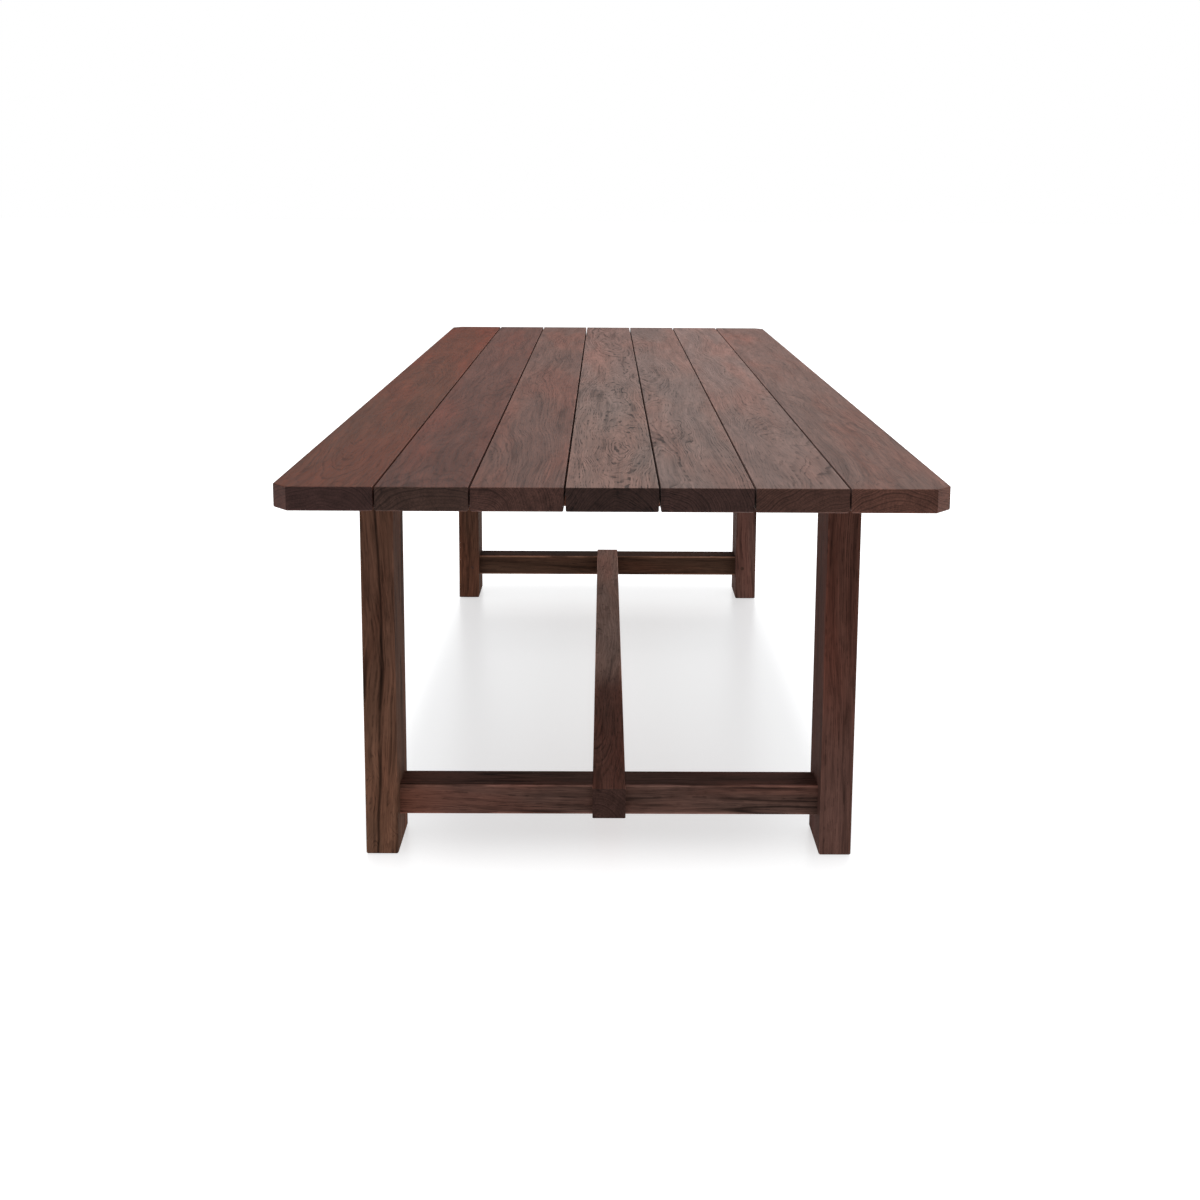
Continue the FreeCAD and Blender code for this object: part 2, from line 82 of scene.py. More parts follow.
# The teak. A shade is a factor on a board's own colour, or one each on its red, green and blue.
TEAK_SHADES = {
    "early": (1.12, 1.10, 1.09),
    "late": (0.93, 0.88, 0.86),
    "red": (1.19, 0.98, 0.93),
    "grey": (0.88, 0.98, 1.03),
}
END_GRAIN_SHADE = (0.46, 0.42, 0.42)
LATE_WOOD_SHADE = 0.28
SMOKE_SHADE = 0.32
VEIN_SHADE = 0.22
PORE_SHADE = 0.8
FIBRE_SHADES = (0.76, 1.24)
CLOUD_SHADES = (0.83, 1.17)
# Arrises are painted lighter by these shades: partly for their wear, partly as a painted highlight
# where they catch the light. The rails' are strongest, the rear rail's most of all, as painted
# light from behind the table.
ARRIS_WEAR_AND_HIGHLIGHT = 1.45
RAIL_ARRIS_WEAR_AND_HIGHLIGHT = 2.4
REAR_RAIL_ARRIS_WEAR_AND_HIGHLIGHT = 4.2
NO_CHANGE = (1, 1, 1)
TEAK_IOR = 1.45
TOP_GLOSS = 0.12
FRAME_GLOSS = 0.03
SHEEN_ROUGHNESS = (0.66, 0.84)
ARRIS_POLISH = -0.15
RELIEF_DEPTH = 0.0006
RELIEF_STRENGTH = 0.3
RING_RELIEF = -1.0
PORE_RELIEF = -0.8

# Growth rings 3.2 mm apart. Good and bad years take turns about every two rings and shift them by
# up to 2.2, and lighter and darker years take turns about every three. Both are given in repeats to
# a ring. Late wood takes up the second half of a year, from where it starts to where it is full,
# and ends sharply. A depth is how much of its darkness shows: where the rings are bold, in short
# strokes and on end grain.
RING_SPACING = 0.0032
GOOD_YEARS = 0.45
GOOD_YEARS_REACH = 2.2
COLOUR_YEARS = 0.31
LATE_WOOD_STARTS = (0.5, 0.9)
LATE_WOOD_ENDS = (1.0, 0.93)
BOLD_RING_DEPTH = 0.6
STROKE_DEPTH = 0.9
END_RING_DEPTH = 0.6

# The teak's patterns. Each has its repeats in a metre along the grain, across it and through the
# board, the detail of its noise, and how high the noise is where a mark starts and where it is
# full. The comment gives the size of a repeat. Real fibres are 0.03 mm wide and real pores 0.3 mm,
# too fine to show in the render, so bundles of them are drawn, as coarse as they need to show.
NOISE_MIDDLE = 0.5
NOISE_RANGE = (0.3, 0.7)
PATCHES = {"repeats": (1.8, 12, 12), "detail": 4}  # 560 x 83 mm
PATCH_RISES = {"red": (0.54, 0.34), "grey": (0.40, 0.68)}
CLOUDS = {"repeats": (4.5, 46, 46), "detail": 4}  # 220 x 22 mm
FIBRES = {"repeats": (14, 380, 380), "detail": 4}  # 71 x 2.6 mm
PORES = {"repeats": (32, 420, 420), "detail": 2, "rise": (0.55, 0.72)}  # 31 x 2.4 mm
BOLD_RINGS = {"repeats": (2.5, 12, 12), "detail": 1, "rise": (0.35, 0.65)}  # 400 x 83 mm
STROKES = {"repeats": (42, 75, 75), "detail": 2, "rise": (0.48, 0.62)}  # 24 x 13 mm
SMOKE = {"repeats": (3.2, 95, 95), "detail": 4, "rise": (0.50, 0.74)}  # 310 x 11 mm
VEINS = {"repeats": (1.4, 26, 26), "detail": 2.5}  # 710 x 38 mm
VEIN_HALF_WIDTH = 0.045
VEINED_PLACES = {"repeats": (2.2, 11, 11), "detail": 1, "rise": (0.46, 0.60)}  # 450 x 91 mm
LINE_BREAKS = {"repeats": (7, 3, 3), "detail": 2, "rise": (0.28, 0.46)}  # 140 x 330 mm
LINE_DEPTH = 0.95
LINE_SWIRL = (0.7, 0.7, 0.7)
# The band beside the rails' arrises shows in patches, painted lighter for wear and as a painted
# highlight.
RUBBED_AND_LIT_PATCHES = {"repeats": (9, 3, 3), "detail": 3, "rise": (0.36, 0.56)}  # 110 x 330 mm
RUBBED_AND_LIT_WIDTH = 0.0055
ARRIS_WIDTH = 0.001

# How squarely a face looks along the grain where it starts to show end grain and where it shows
# nothing else, and along any axis where it starts to be an arris and where it is one.
END_GRAIN_FACING = (0.3, 0.9)
ARRIS_FACING = (0.99, 0.78)

# The bends of the growth rings: the log's own, wide waves, short waves and a ring's unsteady
# line. Reach is how far each carries the wood along, across and through the board, and swirls
# says whether a board's swirl makes it stronger.
RING_BENDS = (
    {"repeats": (1.1, 2.4, 2.4), "detail": 1.5, "reach": (0, 0.10, 0.14),
     "swirls": False},  # 910 x 420 mm
    {"repeats": (2.6, 10, 10), "detail": 2.0, "reach": (0, 0.018, 0.030),
     "swirls": True},  # 380 x 100 mm
    {"repeats": (9, 24, 24), "detail": 2.0, "reach": (0, 0.005, 0.005),
     "swirls": True},  # 110 x 42 mm
    {"repeats": (26, 60, 60), "detail": 2.0, "reach": (0, 0.0016, 0.0016),
     "swirls": False},  # 38 x 17 mm
)
SWELL_BENDS = {"repeats": (6, 22, 22), "detail": 3}  # 170 x 45 mm
SWELL_REACH = (0.40, 0.070, 0)
SWELL_CORE = 0.12

LOG_STEP = (3.7, 1.9, 2.3)

SMOOTH = {"interpolation_type": "SMOOTHSTEP"}
ENDS = ("front", "rear")
SIDES = ("left", "right")
PLANKS = [f"plank_{number}" for number in range(1, 8)]


def linear(colour):
    """An sRGB hex colour as linear red, green, blue and a full alpha."""
    parts = [int(colour[k:k + 2], 16) / 255 for k in (1, 3, 5)]
    return [p / 12.92 if p <= 0.04045 else ((p + 0.055) / 1.055) ** 2.4 for p in parts] + [1]


def scaled(colour, factors):
    """A hex colour as linear values, each part taken by its factor."""
    return [part * factor for part, factor in zip(linear(colour), (*factors, 1))]


def add(tree, kind, inputs=None, **settings):
    """Add a node and return its output. Settings are the node's properties. Inputs name or number
    its sockets, each with a value, a hex colour or another node's output."""
    node = tree.nodes.new(f"ShaderNode{kind}")
    for name, value in settings.items():
        setattr(node, name, value)
    for key, value in (inputs or {}).items():
        named = (s for s in node.inputs if s.enabled and s.name == key)
        socket = node.inputs[key] if isinstance(key, int) else next(named)
        if isinstance(value, bpy.types.NodeSocket):
            tree.links.new(value, socket)
        else:
            socket.default_value = linear(value) if isinstance(value, str) else value
    return next((s for s in node.outputs if s.enabled), node)


def new_material(name):
    """An empty material and its node tree."""
    material = bpy.data.materials.new(name)
    material.use_nodes = True
    material.node_tree.nodes.clear()
    return material, material.node_tree


def grain_axes(tree, centre, order, seed):
    """Object coordinates as along the grain, across the board and through it, from its centre.
    Each seed takes a board out of another part of the log, a step along, across and through."""
    place = add(tree, "TexCoord").node.outputs["Object"]
    centred = add(tree, "VectorMath", {0: place, 1: centre}, operation="SUBTRACT")
    parts = add(tree, "SeparateXYZ", {0: centred}).node.outputs
    ordered = {k: parts["XYZ".index(axis)] for k, axis in enumerate(order)}
    place = add(tree, "CombineXYZ", ordered)
    offset = [seed * step for step in LOG_STEP]
    return place, add(tree, "VectorMath", {0: place, 1: offset}, operation="ADD")


def stretched_noise(tree, place, pattern):
    """Noise with a pattern's own repeats along, across and through the board."""
    place = add(tree, "VectorMath", {0: place, 1: pattern["repeats"]}, operation="MULTIPLY")
    return add(tree, "TexNoise", {"Vector": place, "Scale": 1, "Detail": pattern["detail"]})


def stretched_marks(tree, place, pattern, strength=1.0):
    """Marks where a pattern's noise rises through its range, from none to their strength."""
    noise = stretched_noise(tree, place, pattern)
    low, high = pattern["rise"]
    return add(tree, "MapRange", {"Value": noise, "From Min": low, "From Max": high,
                                  "To Max": strength}, **SMOOTH)


def ring_field(tree, place, log, pith, swirl, swells):
    """How many growth rings lie between a point and the pith, and the offset that the wood's bends
    give to whatever follows them. The rings are rounds about a pith that wanders along the board.
    Each swell is a knot hidden near the face, given by its place along and across the board, the
    height by which it pulls the rings in, and its half length and half width. It closes the rings
    into long loops, which noise bends out of true ovals, and its core is flat."""
    offsets = []
    for bend in RING_BENDS:
        reach = [part * (swirl if bend["swirls"] else 1) for part in bend["reach"]]
        noise = stretched_noise(tree, log, bend).node.outputs["Color"]
        noise = add(tree, "VectorMath", {0: noise, 1: [NOISE_MIDDLE] * 3}, operation="SUBTRACT")
        offsets.append(add(tree, "VectorMath", {0: noise, 1: reach}, operation="MULTIPLY"))
    swirled = offsets[0]
    for offset in offsets[1:]:
        swirled = add(tree, "VectorMath", {0: swirled, 1: offset}, operation="ADD")

    centre = add(tree, "VectorMath", {0: place, 1: swirled}, operation="ADD")
    centre = add(tree, "VectorMath", {0: centre, 1: (0, *pith)}, operation="ADD")
    centre = add(tree, "VectorMath", {0: centre, 1: (0, 1, 1)}, operation="MULTIPLY")
    radius = add(tree, "VectorMath", {0: centre}, operation="LENGTH").node.outputs["Value"]

    bent = stretched_noise(tree, log, SWELL_BENDS).node.outputs["Color"]
    bent = add(tree, "VectorMath", {0: bent, 1: SWELL_REACH, 2: place}, operation="MULTIPLY_ADD")
    for along, across, pull, half_length, half_width in swells:
        middle = (along + SWELL_REACH[0] * NOISE_MIDDLE, across + SWELL_REACH[1] * NOISE_MIDDLE, 0)
        away = add(tree, "VectorMath", {0: bent, 1: middle}, operation="SUBTRACT")
        away = add(tree, "VectorMath", {0: away, 1: (1 / half_length, 1 / half_width, 0)},
                   operation="MULTIPLY")
        away = add(tree, "VectorMath", {0: away}, operation="LENGTH").node.outputs["Value"]
        swell = add(tree, "MapRange", {"Value": away, "From Min": 1, "From Max": SWELL_CORE,
                                       "To Max": -pull}, **SMOOTH)
        radius = add(tree, "Math", {0: radius, 1: swell}, operation="ADD")

    rings = add(tree, "Math", {0: radius, 1: 1 / RING_SPACING}, operation="MULTIPLY")
    years = add(tree, "TexNoise", {"W": rings, "Scale": GOOD_YEARS, "Detail": 2},
                noise_dimensions="1D")
    rings = add(tree, "Math", {0: years, 1: GOOD_YEARS_REACH, 2: rings}, operation="MULTIPLY_ADD")
    return rings, swirled


def ends_and_arrises(tree, place, log, order, half_size, rubbed_and_highlit):
    """Where a board shows its end grain, and where its arrises are lighter, from wear and a painted
    highlight: on their rounded faces, and on a band beside them, in patches where hands and feet
    have scuffed it and where it is painted as catching the light."""
    facing = add(tree, "NewGeometry").node.outputs["Normal"]
    facing = add(tree, "VectorMath", {0: facing}, operation="ABSOLUTE")
    sides = add(tree, "SeparateXYZ", {0: facing}).node.outputs
    end_grain = add(tree, "MapRange", {"Value": sides["XYZ".index(order[0])],
                                       "From Min": END_GRAIN_FACING[0],
                                       "From Max": END_GRAIN_FACING[1]}, **SMOOTH)
    flat = add(tree, "Math", {0: sides["X"], 1: sides["Y"]}, operation="MAXIMUM")
    flat = add(tree, "Math", {0: flat, 1: sides["Z"]}, operation="MAXIMUM")
    wear_and_highlight = add(tree, "MapRange", {"Value": flat, "From Min": ARRIS_FACING[0],
                                  "From Max": ARRIS_FACING[1]})

    inset = add(tree, "VectorMath", {0: place}, operation="ABSOLUTE")
    inset = add(tree, "VectorMath", {0: inset, 1: half_size}, operation="SUBTRACT")
    inset = add(tree, "SeparateXYZ", {0: inset}).node.outputs
    inset = add(tree, "Math", {0: inset["Y"], 1: inset["Z"]}, operation="MINIMUM")
    band = add(tree, "MapRange", {"Value": inset, "From Min": -RUBBED_AND_LIT_WIDTH,
                                  "From Max": -ARRIS_WIDTH}, **SMOOTH)
    rubbed_and_lit = stretched_marks(tree, log, RUBBED_AND_LIT_PATCHES, rubbed_and_highlit)
    band = add(tree, "Math", {0: band, 1: rubbed_and_lit}, operation="MULTIPLY")
    return end_grain, add(tree, "Math", {0: wear_and_highlight, 1: band}, operation="MAXIMUM")


def board_colour(tree, place, flow, rings, end_grain, colour, end_colour, blush, stain, tone_and_light_along):
    """A board's colour without its marks: lighter and darker years, red and grey-brown stains in
    wide patches, its change of tone along its length, which on some boards is painted light, and
    its darker end grain."""
    parts = {shade: scaled(colour, factors) for shade, factors in TEAK_SHADES.items()}
    band = add(tree, "TexNoise", {"W": rings, "Scale": COLOUR_YEARS, "Detail": 2},
               noise_dimensions="1D")
    wood = add(tree, "Mix", {"Factor": band, "A": parts["early"], "B": parts["late"]},
               data_type="RGBA")
    patch = stretched_noise(tree, flow, PATCHES)
    for shade, strength in (("red", blush), ("grey", stain)):
        low, high = PATCH_RISES[shade]
        mask = add(tree, "MapRange", {"Value": patch, "From Min": low, "From Max": high,
                                      "To Max": strength}, **SMOOTH)
        wood = add(tree, "Mix", {"Factor": mask, "A": wood, "B": parts[shade]}, data_type="RGBA")

    # The tone along the board, which on the legs and the stretcher is painted light.
    start, end, shade = tone_and_light_along
    along = add(tree, "SeparateXYZ", {0: place}).node.outputs["X"]
    toned_and_lit = add(tree, "MapRange", {"Value": along, "From Min": start, "From Max": end}, **SMOOTH)
    toned_and_lit = add(tree, "Mix", {"Factor": toned_and_lit, "A": (*NO_CHANGE, 1), "B": (*shade, 1)},
                data_type="RGBA")
    wood = add(tree, "VectorMath", {0: wood, 1: toned_and_lit}, operation="MULTIPLY")
    sawn = linear(end_colour) if end_colour else scaled(colour, END_GRAIN_SHADE)
    return add(tree, "Mix", {"Factor": end_grain, "A": wood, "B": sawn}, data_type="RGBA")


def late_wood(tree, log, flow, rings, end_grain, lines):
    """The thin dark lines of late wood. They are bold in places, broken into short strokes
    elsewhere, and whole on end grain."""
    year = add(tree, "Math", {0: rings}, operation="FRACT")
    starts, ends = [add(tree, "MapRange", {"Value": year, "From Min": low, "From Max": high},
                        **SMOOTH)
                    for low, high in (LATE_WOOD_STARTS, LATE_WOOD_ENDS)]
    late = add(tree, "Math", {0: starts, 1: ends}, operation="MULTIPLY")
    bold = stretched_marks(tree, log, BOLD_RINGS, BOLD_RING_DEPTH * lines)
    strokes = stretched_marks(tree, flow, STROKES, STROKE_DEPTH * lines)
    depth = add(tree, "Math", {0: bold, 1: strokes}, operation="ADD")
    sawn = add(tree, "Math", {0: end_grain, 1: END_RING_DEPTH}, operation="MULTIPLY")
    depth = add(tree, "Math", {0: depth, 1: sawn}, operation="MAXIMUM")
    return add(tree, "Math", {0: late, 1: depth}, operation="MULTIPLY")


def mineral_veins(tree, place, log, flow, swirled, veins, dark_lines):
    """Dark veins of minerals: thin ones in some places, where a noise passes through its middle,
    and a long broken one for each dark line."""
    noise = stretched_noise(tree, flow, VEINS)
    noise = add(tree, "Math", {0: noise, 1: NOISE_MIDDLE}, operation="SUBTRACT")
    noise = add(tree, "Math", {0: noise}, operation="ABSOLUTE")
    vein = add(tree, "MapRange", {"Value": noise, "From Min": VEIN_HALF_WIDTH, "From Max": 0},
               **SMOOTH)
    where = stretched_marks(tree, log, VEINED_PLACES, veins)
    vein = add(tree, "Math", {0: vein, 1: where}, operation="MULTIPLY")
    for through, half_width in dark_lines:
        bent = add(tree, "VectorMath", {0: swirled, 1: LINE_SWIRL, 2: place},
                   operation="MULTIPLY_ADD")
        bent = add(tree, "SeparateXYZ", {0: bent}).node.outputs["Z"]
        bent = add(tree, "Math", {0: bent, 1: through}, operation="SUBTRACT")
        bent = add(tree, "Math", {0: bent}, operation="ABSOLUTE")
        line = add(tree, "MapRange", {"Value": bent, "From Min": half_width, "From Max": 0},
                   **SMOOTH)
        broken = stretched_marks(tree, log, LINE_BREAKS, LINE_DEPTH)
        line = add(tree, "Math", {0: line, 1: broken}, operation="MULTIPLY")
        vein = add(tree, "Math", {0: vein, 1: line}, operation="MAXIMUM")
    return vein


def teak(name, node, order, seed, colour, end_colour=None, pith=(0.04, 0.06), swirl=0.6,
         lines=0.25, blush=1.0, stain=0.4, veins=0.5, streaks=0.3, swells=(), dark_lines=(),
         tone_and_light_along=(0, 1, NO_CHANGE), arris=ARRIS_WEAR_AND_HIGHLIGHT, rubbed_and_highlit=0, gloss=FRAME_GLOSS):
    """Teak board, sawn, sanded and oiled. Its growth rings show as thin dark lines, arches and
    loops on the faces and arcs on the ends. Short strokes, smoky streaks and mineral veins follow
    the rings' swirls, and red and grey-brown stains follow wide patches. Arrises are lighter, from
    wear and a painted highlight, and smoother, and end grain drinks the oil and turns darker. A
    board's tone can change along its length, which on the legs and the stretcher is painted light.
    Order names the axes along the grain, across the board and through it. Pith is where the log's
    heart lies, across and through. Swirl is how far the rings bend, and lines, blush, stain, veins
    and streaks are how strong the late wood, the red and the grey-brown stains, the veins and the
    smoky streaks are. A dark line is a long mineral vein, given by its place through the board and
    its half width. The change of tone along the board is given by where it starts, where it is
    full, and its shade. Arris is the shade of the lighter arrises, for their wear and painted
    highlight, and a further strength says how strongly the band beside them shows the same."""
    material, tree = new_material(name)
    low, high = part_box(node)
    centre = [(a + b) / 2 for a, b in zip(low, high)]
    axes = ["XYZ".index(axis) for axis in order]
    half_size = [(high[axis] - low[axis]) / 2 for axis in axes]
    place, log = grain_axes(tree, centre, order, seed)
    rings, swirled = ring_field(tree, place, log, pith, swirl, swells)
    flow = add(tree, "VectorMath", {0: log, 1: swirled}, operation="ADD")
    end_grain, wear_and_highlight = ends_and_arrises(tree, place, log, order, half_size, rubbed_and_highlit)
    wood = board_colour(tree, place, flow, rings, end_grain, colour, end_colour, blush, stain, tone_and_light_along)

    late = late_wood(tree, log, flow, rings, end_grain, lines)
    smoke = stretched_marks(tree, flow, SMOKE, streaks)
    vein = mineral_veins(tree, place, log, flow, swirled, veins, dark_lines)
    pore = stretched_marks(tree, flow, PORES)
    fibre = stretched_noise(tree, flow, FIBRES)
    cloud = stretched_noise(tree, flow, CLOUDS)
    # The arrises' shade paints them lighter, for their wear and as a painted highlight.
    for value, (least, most), shades in (
            (late, (0, 1), (1, LATE_WOOD_SHADE)), (smoke, (0, 1), (1, SMOKE_SHADE)),
            (vein, (0, 1), (1, VEIN_SHADE)), (pore, (0, 1), (1, PORE_SHADE)),
            (wear_and_highlight, (0, 1), (1, arris)), (fibre, NOISE_RANGE, FIBRE_SHADES),
            (cloud, NOISE_RANGE, CLOUD_SHADES)):
        shade = add(tree, "MapRange", {"Value": value, "From Min": least, "From Max": most,
                                       "To Min": shades[0], "To Max": shades[1]})
        wood = add(tree, "VectorMath", {0: wood, "Scale": shade}, operation="SCALE")

    relief = add(tree, "Math", {0: late, 1: RING_RELIEF, 2: fibre}, operation="MULTIPLY_ADD")
    relief = add(tree, "Math", {0: pore, 1: PORE_RELIEF, 2: relief}, operation="MULTIPLY_ADD")
    bump = add(tree, "Bump", {"Height": relief, "Strength": RELIEF_STRENGTH,
                              "Distance": RELIEF_DEPTH})
    sheen = add(tree, "MapRange", {"Value": fibre, "From Min": NOISE_RANGE[0],
                                   "From Max": NOISE_RANGE[1], "To Min": SHEEN_ROUGHNESS[0],
                                   "To Max": SHEEN_ROUGHNESS[1]})
    sheen = add(tree, "Math", {0: wear_and_highlight, 1: ARRIS_POLISH, 2: sheen}, operation="MULTIPLY_ADD")
    shader = add(tree, "BsdfPrincipled", {"Base Color": wood, "Roughness": sheen, "Normal": bump,
                                          "IOR": TEAK_IOR, "Specular IOR Level": gloss})
    add(tree, "OutputMaterial", {"Surface": shader})
    return material


def dress(node, material):
    """Give a CAD node one material."""
    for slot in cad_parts[node].material_slots:
        slot.material = material


# The boards' looks, as teak() takes them. The planks' colour changes along them, from their rear
# ends to their front ends. The legs are painted lighter towards their feet, a painted light as if
# thrown up from the floor. The front lower rail is more orange at its left end. The stretcher is
# painted much lighter and greyer behind its front third, a painted light and painted grey
# reflection, so that its front third looks shaded by the top.
PLANK_SWIRL = 1.2
PLANK_TONE_SPAN = (1.0, -0.8)
# The planks grow lighter and greyer from plank 1 to plank 6, partly as a painted grey reflection
# over the teak's own tone.
PLANK_BOARDS = (
    {"colour": "#573125", "end_colour": "#3B2825", "pith": (0.030, 0.110), "lines": 0.35,
     "stain": 0.4, "veins": 0.25, "streaks": 0.30, "swells": [(-0.70, 0.00, 0.022, 0.30, 0.07)],
     "tone_and_light_along": (*PLANK_TONE_SPAN, (0.84, 1.05, 1.14))},
    {"colour": "#573B34", "end_colour": "#402E28", "pith": (-0.020, 0.090), "lines": 0.35,
     "stain": 0.5, "veins": 0.2, "streaks": 0.40, "tone_and_light_along": (*PLANK_TONE_SPAN, (0.88, 0.83, 0.81))},
    {"colour": "#604740", "end_colour": "#4A322C", "pith": (0.075, 0.060), "lines": 0.45,
     "blush": 0.8, "stain": 0.6, "veins": 0.3, "streaks": 0.45,
     "tone_and_light_along": (*PLANK_TONE_SPAN, (0.93, 0.91, 0.90))},
    {"colour": "#6E544D", "end_colour": "#342420", "pith": (-0.010, 0.060), "lines": 1.0,
     "blush": 0.55, "stain": 0.6, "veins": 0.15, "streaks": 0.65,
     "swells": [(-0.91, 0.015, 0.024, 0.34, 0.065), (-0.17, 0.005, 0.018, 0.50, 0.055)],
     "tone_and_light_along": (*PLANK_TONE_SPAN, (0.92, 1.08, 1.10))},
    {"colour": "#6A554F", "end_colour": "#3D2A26", "pith": (0.055, 0.045), "lines": 0.7,
     "blush": 0.6, "stain": 0.6, "veins": 0.08, "streaks": 0.45,
     "swells": [(-0.70, 0.010, 0.016, 0.28, 0.05)], "tone_and_light_along": (*PLANK_TONE_SPAN, (0.98, 1.02, 1.02))},
    {"colour": "#725C56", "end_colour": "#49312A", "pith": (-0.055, 0.085), "lines": 0.5,
     "blush": 0.7, "stain": 0.5, "veins": 0.12, "streaks": 0.30,
     "swells": [(-0.72, 0.000, 0.015, 0.25, 0.06)], "tone_and_light_along": (*PLANK_TONE_SPAN, (0.84, 0.84, 0.83))},
    {"colour": "#6B514A", "end_colour": "#573930", "pith": (0.020, 0.120), "lines": 0.35,
     "stain": 0.6, "veins": 0.2, "streaks": 0.35, "tone_and_light_along": (*PLANK_TONE_SPAN, (0.83, 0.88, 0.88))},
)
# Painted light on the legs: lighter towards their feet, as light thrown up from the floor.
LEG_PAINTED_FLOOR_LIGHT = (0.15, -0.36, (1.45, 1.48, 1.42))
FRAME_BOARDS = {
    "leg_front_left": {"order": "ZYX", "colour": "#583E32", "pith": (0.09, 0.05), "lines": 0.45,
                       "swirl": 1.3, "stain": 0.3, "veins": 1.0, "streaks": 0.9,
                       "dark_lines": [(-0.010, 0.0045)], "tone_and_light_along": LEG_PAINTED_FLOOR_LIGHT,
                       "swells": [(-0.33, -0.050, 0.016, 0.12, 0.06)]},
    # Like the other legs, painted lighter towards its foot as light from the floor.
    "leg_front_right": {"order": "ZYX", "colour": "#51352D", "pith": (0.07, -0.06), "lines": 0.6,
                        "stain": 0.3, "veins": 0.5, "streaks": 0.7,
                        "tone_and_light_along": (0.15, -0.36, (1.30, 1.50, 1.62))},
    "leg_rear_left": {"order": "ZYX", "colour": "#493228", "pith": (0.10, 0.04), "lines": 0.4,
                      "stain": 0.3, "veins": 0.6, "streaks": 0.7, "tone_and_light_along": LEG_PAINTED_FLOOR_LIGHT},
    "leg_rear_right": {"order": "ZYX", "colour": "#523C37", "pith": (-0.08, 0.05), "lines": 0.4,
                       "stain": 0.3, "veins": 0.6, "streaks": 0.7, "tone_and_light_along": LEG_PAINTED_FLOOR_LIGHT},
    # Arrises painted lighter for wear and as a painted highlight; more orange at its left end.
    "lower_rail_front": {"order": "XZY", "colour": "#58423B", "pith": (0.05, 0.06), "lines": 0.6,
                         "stain": 0.4, "veins": 0.9, "streaks": 1.0, "rubbed_and_highlit": 1.0,
                         "arris": RAIL_ARRIS_WEAR_AND_HIGHLIGHT, "tone_and_light_along": (-0.26, -0.38, (1.30, 1.12, 1.0))},
    # Arrises painted lightest: their wear and a painted highlight of light from behind the table.
    "lower_rail_rear": {"order": "XZY", "colour": "#4D382D", "pith": (0.04, 0.07), "lines": 0.4,
                        "stain": 0.3, "veins": 0.6, "streaks": 0.7, "rubbed_and_highlit": 1.0,
                        "arris": REAR_RAIL_ARRIS_WEAR_AND_HIGHLIGHT},
    "upper_rail_front": {"order": "XZY", "colour": "#5E3828", "pith": (0.08, 0.04),
                         "streaks": 0.6},
    "upper_rail_rear": {"order": "XZY", "colour": "#5E3828", "pith": (-0.06, 0.05),
                        "streaks": 0.6},
    # Painted much lighter and greyer behind its front third: painted light and grey reflection.
    "stretcher": {"order": "YXZ", "colour": "#765348", "end_colour": "#432F2A",
                  "pith": (0.02, 0.06), "swirl": 0.8, "lines": 0.5, "stain": 0.5, "streaks": 0.5,
                  "tone_and_light_along": (-0.36, -0.16, (1.95, 2.75, 3.05))},
    "batten_front": {"order": "XYZ", "colour": "#5A382A", "pith": (0.03, 0.07)},
    "batten_middle": {"order": "XYZ", "colour": "#603C2E", "pith": (-0.04, 0.06)},
    "batten_rear": {"order": "XYZ", "colour": "#573527", "pith": (0.05, -0.05)},
    "tenon_pegs": {"order": "YXZ", "colour": "#70493A", "end_colour": "#4E362E",
                   "pith": (0.03, 0.04), "veins": 0.0},
    "leg_dowels": {"order": "ZXY", "colour": "#70493A", "pith": (0.03, 0.04), "veins": 0.0},
}

for number, (plank, board) in enumerate(zip(PLANKS, PLANK_BOARDS), 1):
    dress(plank, teak(f"oiled_teak_{plank}", plank, "YXZ", number, swirl=PLANK_SWIRL,
                      gloss=TOP_GLOSS, **board))
for number, (piece, board) in enumerate(FRAME_BOARDS.items(), 11):
    dress(piece, teak(f"oiled_teak_{piece}", piece, seed=number, **board))

# The screws' steel and the glides' polythene. Brushing marks and a mould's spark texture are under
# a tenth of a millimetre wide in the real metal and plastic. They are drawn about 1.1 and 0.7 mm
# wide, given in repeats to the metre.
STEEL_COLOUR = "#B4B1AC"
STEEL_ROUGHNESS = (0.28, 0.48)
BRUSHING_REPEATS = 900
BRUSHING_STRENGTH = 0.15
POLYTHENE_COLOUR = "#1C1A18"
POLYTHENE_ROUGHNESS = (0.5, 0.68)
SPARK_REPEATS = 1500
SPARK_STRENGTH = 0.2
TEXTURE_DEPTH = 0.0001


def make_steel():
    """Plain stainless steel, cold formed: bright and slightly brushed."""
    material, tree = new_material("cold_formed_stainless_steel")
    place = add(tree, "TexCoord").node.outputs["Object"]
    scratch = add(tree, "TexNoise", {"Vector": place, "Scale": BRUSHING_REPEATS, "Detail": 2})
    rough = add(tree, "MapRange", {"Value": scratch, "To Min": STEEL_ROUGHNESS[0],
                                   "To Max": STEEL_ROUGHNESS[1]})
    bump = add(tree, "Bump", {"Height": scratch, "Strength": BRUSHING_STRENGTH,
                              "Distance": TEXTURE_DEPTH})
    shader = add(tree, "BsdfPrincipled", {"Base Color": STEEL_COLOUR, "Metallic": 1,
                                          "Roughness": rough, "Normal": bump})
    add(tree, "OutputMaterial", {"Surface": shader})
    return material


